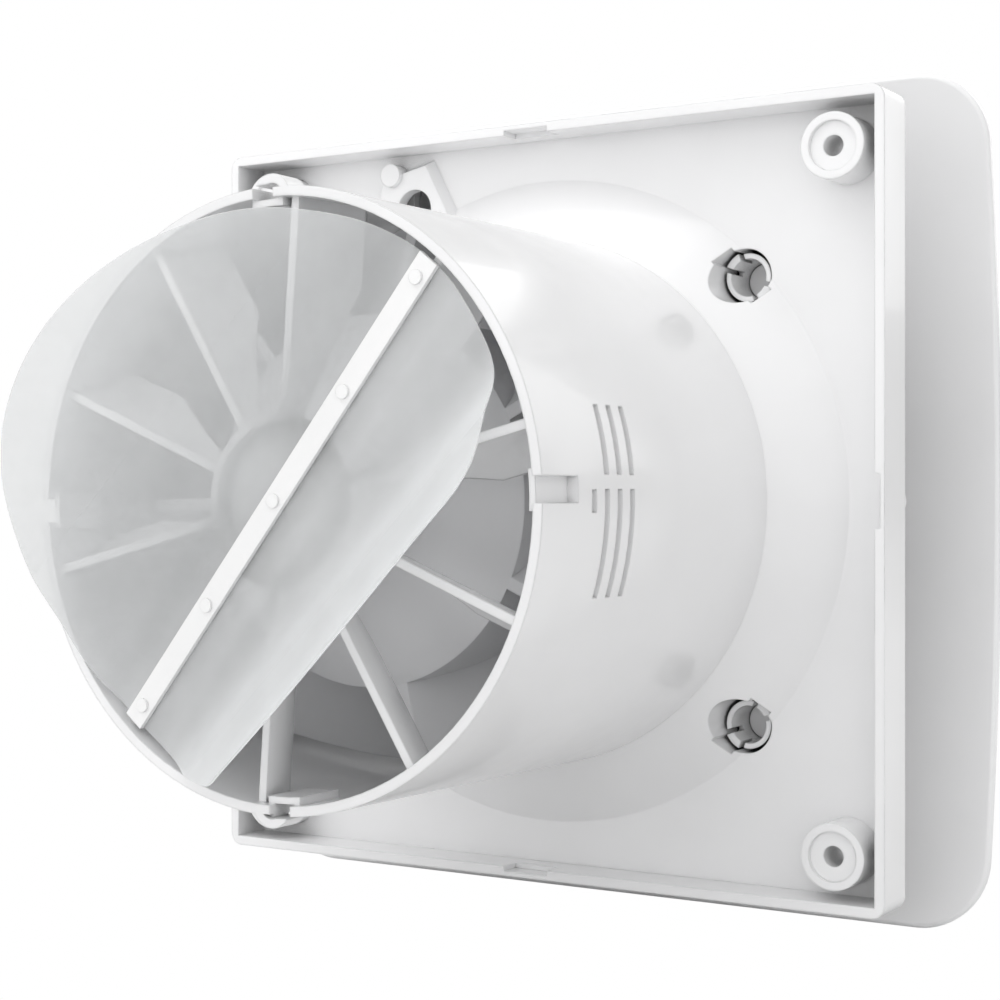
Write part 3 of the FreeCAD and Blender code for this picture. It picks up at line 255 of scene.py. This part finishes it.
def soft(name, colour, roughness, depth):
    """Rubber or soft vinyl, with a powdery surface."""
    shader = Shader(name)
    dust = shader.noise(1.2 * MM, 4.0)
    tone = shader.mix(shader.remap(dust, 0, 1), shade(colour, 0.85), shade(colour, 1.3))
    shader.feed("Base Color", tone)
    shader.feed("Roughness", shader.remap(dust, roughness * 0.9, min(1.0, roughness * 1.15)))
    shader.set(Sheen_Weight=0.15, Sheen_Roughness=0.5)
    shader.bump((shader.noise(0.3 * MM, 3.0), depth * MM), edge=0.2 * MM)
    return shader.material


MILKINESS = 0.4
FLATTEST_LOOK = 0.06       # cosine of the flattest angle that still adds to what the film hides


def thin_film(name, colour, cover):
    """Thin milky film that hides more of what lies behind it the flatter it is looked along.

    cover is how much one face hides when it is seen square on. MILKINESS of what it shows of itself is
    light that has come through from behind.
    """
    shader = Shader(name)
    shader.set(Base_Color=shade(colour, 1.0), IOR=1.5)
    shader.feed("Roughness", shader.remap(shader.noise(4 * MM, 3.0), 0.14, 0.26))
    shader.bump((shader.noise(16 * MM, 1.0), 0.12 * MM))
    through = shader.add("ShaderNodeBsdfTranslucent")
    through.inputs["Color"].default_value = shade(colour, 1.0)
    milk = shader.add("ShaderNodeMixShader")
    milk.inputs["Fac"].default_value = MILKINESS
    shader.link(shader.surface, "BSDF", milk, 1)
    shader.link(through, "BSDF", milk, 2)
    view = shader.add("ShaderNodeLayerWeight")
    view.inputs["Blend"].default_value = 0.5
    square_on = shader.math("SUBTRACT", 1.0, view.outputs["Facing"])
    passes = shader.math("DIVIDE", 1.0, shader.math("MAXIMUM", square_on, FLATTEST_LOOK))
    clear = shader.remap(shader.noise(9 * MM, 2.0), 1 - cover * 1.05, 1 - cover * 0.95)
    seen_through = shader.math("POWER", clear, passes)
    gap = shader.add("ShaderNodeBsdfTransparent")
    film = shader.add("ShaderNodeMixShader")
    shader.tree.links.new(seen_through, film.inputs["Fac"])
    shader.link(milk, "Shader", film, 1)
    shader.link(gap, "BSDF", film, 2)
    shader.link(film, "Shader", shader.output, "Surface")
    return shader.material


def unseen(name):
    """The cut ends where two sheets of one film meet, which can't be seen on the real film."""
    shader = Shader(name)
    gap = shader.add("ShaderNodeBsdfTransparent")
    shader.link(gap, "BSDF", shader.output, "Surface")
    return shader.material


WHITE = (0.86, 0.86, 0.865)
MATERIALS = {
    # the casing's base colour carries painted shade in its narrow holes and crevices
    "casing_white": lambda name: moulded(name, WHITE, 0.24, coat=0.3, edge=0.5, painted_crevice_shade=7.0),
    "panel_white": lambda name: moulded(name, WHITE, 0.3, coat=0.25, edge=0.25),
    "valve_white": lambda name: moulded(name, (0.9, 0.9, 0.9), 0.22, coat=0.3, edge=0.2),
    "impeller_white": lambda name: moulded(name, (0.8, 0.8, 0.81), 0.34, coat=0.1, depth=0.004),
    "spider_white": lambda name: moulded(name, (0.82, 0.82, 0.82), 0.3, depth=0.004),
    "block_plastic": lambda name: moulded(name, (0.72, 0.72, 0.69), 0.4, depth=0.008),
    "film": lambda name: thin_film(name, (0.88, 0.89, 0.895), 0.41),
    "spring_steel": lambda name: metal(name, (0.55, 0.56, 0.58), 0.25, "Y"),
    "shaft_steel": lambda name: metal(name, (0.60, 0.61, 0.63), 0.18, None),
    "shell_steel": lambda name: metal(name, (0.62, 0.64, 0.66), 0.34, None, mottle=0.14),
    "screw_steel": lambda name: metal(name, (0.62, 0.63, 0.64), 0.3, None, mottle=0.12),
    "terminal_brass": lambda name: metal(name, (0.72, 0.55, 0.26), 0.28, "X"),
    "core_steel": lambda name: laminated(name, (0.30, 0.31, 0.33)),
    "winding": lambda name: winding(name, (0.62, 0.25, 0.10)),
    "rubber": lambda name: soft(name, (0.035, 0.035, 0.037), 0.75, 0.01),
    "lead_insulation": lambda name: soft(name, (0.06, 0.14, 0.42), 0.38, 0.003),
}


def dress_nodes():
    """Give every CAD node the material of its slot in the record."""
    made = {slot: build(slot) for slot, build in MATERIALS.items()}
    for subpart in record["subparts"]:
        thing = nodes[subpart["node"]]
        thing.data.materials.clear()
        thing.data.materials.append(made[subpart["material_slot"]])
    return made


# ---------------------------------------------------------------- the film valve

STRIPS = ("root", "middle", "tip")
FILM_THICKNESS = 0.2 * MM
FIRST_BEND_END = 7.0 * MM      # from the fan's axis, where the first hinge's bend ends
ROWS_PER_MM = 1.2
FEWEST_ROWS = 6
POINTS_ACROSS = 64
TIP_CROWDING = 1.5             # how closely the rows crowd towards the point of the last sheet


def smooth_step(value):
    value = max(0.0, min(1.0, value))
    return value * value * (3 - 2 * value)


def turn_about(point, axis, angle):
    """The 4x4 turn about an axis through a point."""
    return Matrix.Translation(point) @ Matrix.Rotation(angle, 4, axis) @ Matrix.Translation(-point)


def film_disc():
    """Radius of the whole film disc and the height of its middle, from the strip under the bar."""
    strip = nodes["film_clamped_strip"].data.vertices
    low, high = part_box("film_clamped_strip")
    return max(math.hypot(v.co.x, v.co.z) for v in strip), (low.y + high.y) / 2


class Flap:
    """One side of the film: where each of its three hinges lies when it is flat, and how far it lifts."""

    def __init__(self, side):
        self.radius, self.height = film_disc()
        self.creases = []
        unfold = Matrix.Identity(4)
        for name in STRIPS:
            joint = joints["%s_flap_%s_bend" % (side, name)]
            point = unfold @ Vector(joint["pos_m"])
            axis = (unfold.to_3x3() @ Vector(joint["axis"])).normalized()
            lift = -math.radians(joint["range_deg"][0])
            self.creases.append((point, axis, lift))
            unfold = turn_about(point, axis, -lift) @ unfold
        self.outward = REAR.cross(self.creases[0][1]).normalized()
        self.along = self.outward.cross(REAR).normalized()
        self.turned = REAR.cross(self.creases[1][1]).normalized()
        self.distances = [point.dot(out) for (point, axis, lift), out in
                          zip(self.creases, (self.outward, self.turned, self.turned))]
        first, second, third = self.distances
        self.ends = [(first + second) / 2, (second + third) / 2, (third + self.radius) / 2]

    def bent(self, flat):
        """Where a point of the flat film lies at rest, turned about each hinge by the share it has passed."""
        first, second, third = self.ends
        near = flat.dot(self.outward)
        far = flat.dot(self.turned)
        shares = (
            smooth_step((near - self.distances[0]) / (first - self.distances[0])),
            smooth_step((far - first) / (second - first)),
            smooth_step((far - second) / (third - second)),
        )
        for (point, axis, lift), share in reversed(list(zip(self.creases, shares))):
            flat = turn_about(point, axis, lift * share) @ flat
        return flat

    def rim_angles(self, direction, distance):
        """Where the line this far out along a direction meets the disc's rim, as angles from outward."""
        lean = math.atan2(direction.dot(self.along), direction.dot(self.outward))
        half = math.acos(min(1.0, distance / self.radius))
        return lean - half, lean + half

    def sheet(self, name, near, far):
        """A closed thin sheet between two lines, each given as (direction, distance)."""
        start, end = self.rim_angles(*near), self.rim_angles(*far)
        rows = max(FEWEST_ROWS, int((far[1] - near[1]) / MM * ROWS_PER_MM))
        pointed = end[1] - end[0] < 1e-6
        grid = []
        for row in range(rows + 1):
            share = row / rows
            if pointed:
                share = 1 - (1 - share) ** TIP_CROWDING
            left, right = [self.rim_point(a + (b - a) * share) for a, b in zip(start, end)]
            if pointed and row == rows:
                grid.append([self.bent(left)])
            else:
                steps = [step / POINTS_ACROSS for step in range(POINTS_ACROSS + 1)]
                grid.append([self.bent(left.lerp(right, step)) for step in steps])
        return solid_sheet(name, grid, FILM_THICKNESS)

    def rim_point(self, angle):
        flat = (self.outward * math.cos(angle) + self.along * math.sin(angle)) * self.radius
        return flat + REAR * self.height


def solid_sheet(name, grid, thickness):
    """A closed mesh of this thickness round a grid of points, whose last row may be a single point.

    The faces at its first and last rows take the mesh's second material.
    """
    middle = bmesh.new()
    rows = [[middle.verts.new(point) for point in row] for row in grid]
    for low, high in zip(rows, rows[1:]):
        for step in range(len(low) - 1):
            if len(high) == 1:
                middle.faces.new((low[step], low[step + 1], high[0]))
            else:
                middle.faces.new((low[step], low[step + 1], high[step + 1], high[step]))
    bmesh.ops.recalc_face_normals(middle, faces=middle.faces)
    middle.normal_update()
    upper = [vert.co + vert.normal * thickness / 2 for vert in middle.verts]
    lower = [vert.co - vert.normal * thickness / 2 for vert in middle.verts]
    count = len(upper)
    end_rows = [{vert.index for vert in row} for row in (rows[0], rows[-1])]
    faces, slots = [], []
    for face in middle.faces:
        loop = [vert.index for vert in face.verts]
        faces.append(loop)
        faces.append([index + count for index in reversed(loop)])
        slots += [0, 0]
    sharp = set()
    for edge in middle.edges:
        if len(edge.link_faces) == 1:
            loop = [vert.index for vert in edge.link_faces[0].verts]
            first, second = [vert.index for vert in edge.verts]
            if loop[(loop.index(first) + 1) % len(loop)] != second:
                first, second = second, first
            faces.append([second, first, first + count, second + count])
            slots.append(1 if any({first, second} <= ends for ends in end_rows) else 0)
            sharp |= {frozenset((first, second)), frozenset((first + count, second + count))}
    middle.free()
    mesh = bpy.data.meshes.new(name)
    mesh.from_pydata(upper + lower, [], faces)
    mesh.polygons.foreach_set("material_index", slots)
    mesh.shade_smooth()
    for edge in mesh.edges:
        edge.use_edge_sharp = frozenset(edge.vertices) in sharp
    thing = bpy.data.objects.new(name, mesh)
    bpy.context.scene.collection.objects.link(thing)
    return thing


def film_flap(side, material, seam):
    """Three joined sheets, each bending across one hinge; they stand for the flat strips of the frame."""
    flap = Flap(side)
    out, turned = flap.outward, flap.turned
    lines = [(out, clamped_half()), (out, FIRST_BEND_END), (turned, flap.ends[1]), (turned, flap.radius)]
    for number, name in enumerate(STRIPS):
        thing = flap.sheet("%s_film_%s" % (side, name), lines[number], lines[number + 1])
        thing.data.materials.append(material)
        thing.data.materials.append(seam)
        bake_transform(thing)
        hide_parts("%s_flap_%s" % (side, name))


def clamped_half():
    """Half the width of the strip of film under the bar."""
    flap_side = REAR.cross(Vector(joints["left_flap_root_bend"]["axis"])).normalized()
    return max(v.co.dot(flap_side) for v in nodes["film_clamped_strip"].data.vertices)


# ---------------------------------------------------------------- floor, light and camera

SKY_TOWARD = (0.36, 0.82, 0.45)      # the way to the sky's brightest part
SKY_LEVEL = 1.03
SKY_SLOPE = 0.6
FLOOR_TONE = 0.76
FLOOR_REACH = 6.0


def floor():
    """Plain ground under the fan: white where the camera looks at it, pale grey to every other ray."""
    ground = cad_box[0].z
    mesh = bpy.data.meshes.new("floor")
    reach = FLOOR_REACH
    corners = [(-reach, -reach), (reach, -reach), (reach, reach), (-reach, reach)]
    mesh.from_pydata([(x, y, ground) for x, y in corners], [], [(0, 1, 2, 3)])
    thing = bpy.data.objects.new("floor", mesh)
    bpy.context.scene.collection.objects.link(thing)
    shader = Shader("floor_white")
    shader.set(Base_Color=(FLOOR_TONE, FLOOR_TONE, FLOOR_TONE, 1))
    shader.feed("Roughness", shader.remap(shader.noise(0.05), 0.6, 0.75))
    plain = shader.add("ShaderNodeEmission")
    path = shader.add("ShaderNodeLightPath")
    choose = shader.add("ShaderNodeMixShader")
    shader.link(path, "Is Camera Ray", choose, "Fac")
    shader.link(shader.surface, "BSDF", choose, 1)
    shader.link(plain, "Emission", choose, 2)
    shader.link(choose, "Shader", shader.output, "Surface")
    mesh.materials.append(shader.material)


def softbox(name, place, target, width, height, power):
    """A rectangular light at a place, turned towards its target."""
    light = bpy.data.lights.new(name, "AREA")
    light.shape = "RECTANGLE"
    light.size = width
    light.size_y = height
    light.energy = power
    thing = bpy.data.objects.new(name, light)
    thing.location = place
    thing.rotation_euler = (Vector(target) - Vector(place)).to_track_quat("-Z", "Y").to_euler()
    bpy.context.scene.collection.objects.link(thing)


def sky():
    """A pale room, brightest behind the fan and above it, and plain white to the camera."""
    world = bpy.data.worlds.new("studio")
    bpy.context.scene.world = world
    world.use_nodes = True
    tree = world.node_tree
    tree.nodes.clear()

    def add(kind, **settings):
        node = tree.nodes.new(kind)
        for name, value in settings.items():
            setattr(node, name, value)
        return node

    place = add("ShaderNodeTexCoord")
    toward = add("ShaderNodeVectorMath", operation="DOT_PRODUCT")
    toward.inputs[1].default_value = SKY_TOWARD
    level = add("ShaderNodeMapRange")
    level.inputs["From Min"].default_value = -1.0
    level.inputs["From Max"].default_value = 1.0
    level.inputs["To Min"].default_value = SKY_LEVEL - SKY_SLOPE
    level.inputs["To Max"].default_value = SKY_LEVEL + SKY_SLOPE
    light = add("ShaderNodeBackground")
    plain = add("ShaderNodeBackground")
    plain.inputs["Color"].default_value = (1, 1, 1, 1)
    path = add("ShaderNodeLightPath")
    choose = add("ShaderNodeMixShader")
    out = add("ShaderNodeOutputWorld")
    tree.links.new(place.outputs["Generated"], toward.inputs[0])
    tree.links.new(toward.outputs["Value"], level.inputs["Value"])
    tree.links.new(level.outputs["Result"], light.inputs["Strength"])
    tree.links.new(path.outputs["Is Camera Ray"], choose.inputs["Fac"])
    tree.links.new(light.outputs["Background"], choose.inputs[1])
    tree.links.new(plain.outputs["Background"], choose.inputs[2])
    tree.links.new(choose.outputs["Shader"], out.inputs["Surface"])


CAMERA_PLACE = (-0.1931, 0.3203, 0)
CAMERA_TOWARD = (0.5272, -0.8497, 0)
CAMERA_LENS = 70.68        # millimetres, on a sensor 36 mm wide


def camera():
    """Level with the fan's axis, behind it and to its left, close enough for strong perspective."""
    data = bpy.data.cameras.new("camera")
    data.lens = CAMERA_LENS
    data.sensor_width = 36
    data.shift_y = 0.001
    data.clip_start = 0.01
    thing = bpy.data.objects.new("camera", data)
    thing.location = CAMERA_PLACE
    thing.rotation_euler = Vector(CAMERA_TOWARD).to_track_quat("-Z", "Y").to_euler()
    bpy.context.scene.collection.objects.link(thing)
    bpy.context.scene.camera = thing


def studio():
    sky()
    floor()
    softbox("overhead", (0.2, 0.3, 0.9), (0, 0, 0), 0.7, 0.7, 2.3)
    softbox("from_behind", (-0.7, 0.6, 0.35), (0, 0.03, 0), 0.35, 0.7, 0.08)
    softbox("front_fill", (-0.25, -0.9, 0.45), (0, 0, 0), 0.7, 0.7, 2.0)
    view = bpy.context.scene.view_settings
    view.view_transform = "Standard"
    view.look = "None"


made_materials = dress_nodes()
film_seam = unseen("film_seam")
for flap_side in ("left", "right"):
    film_flap(flap_side, made_materials["film"], film_seam)
studio()
camera()
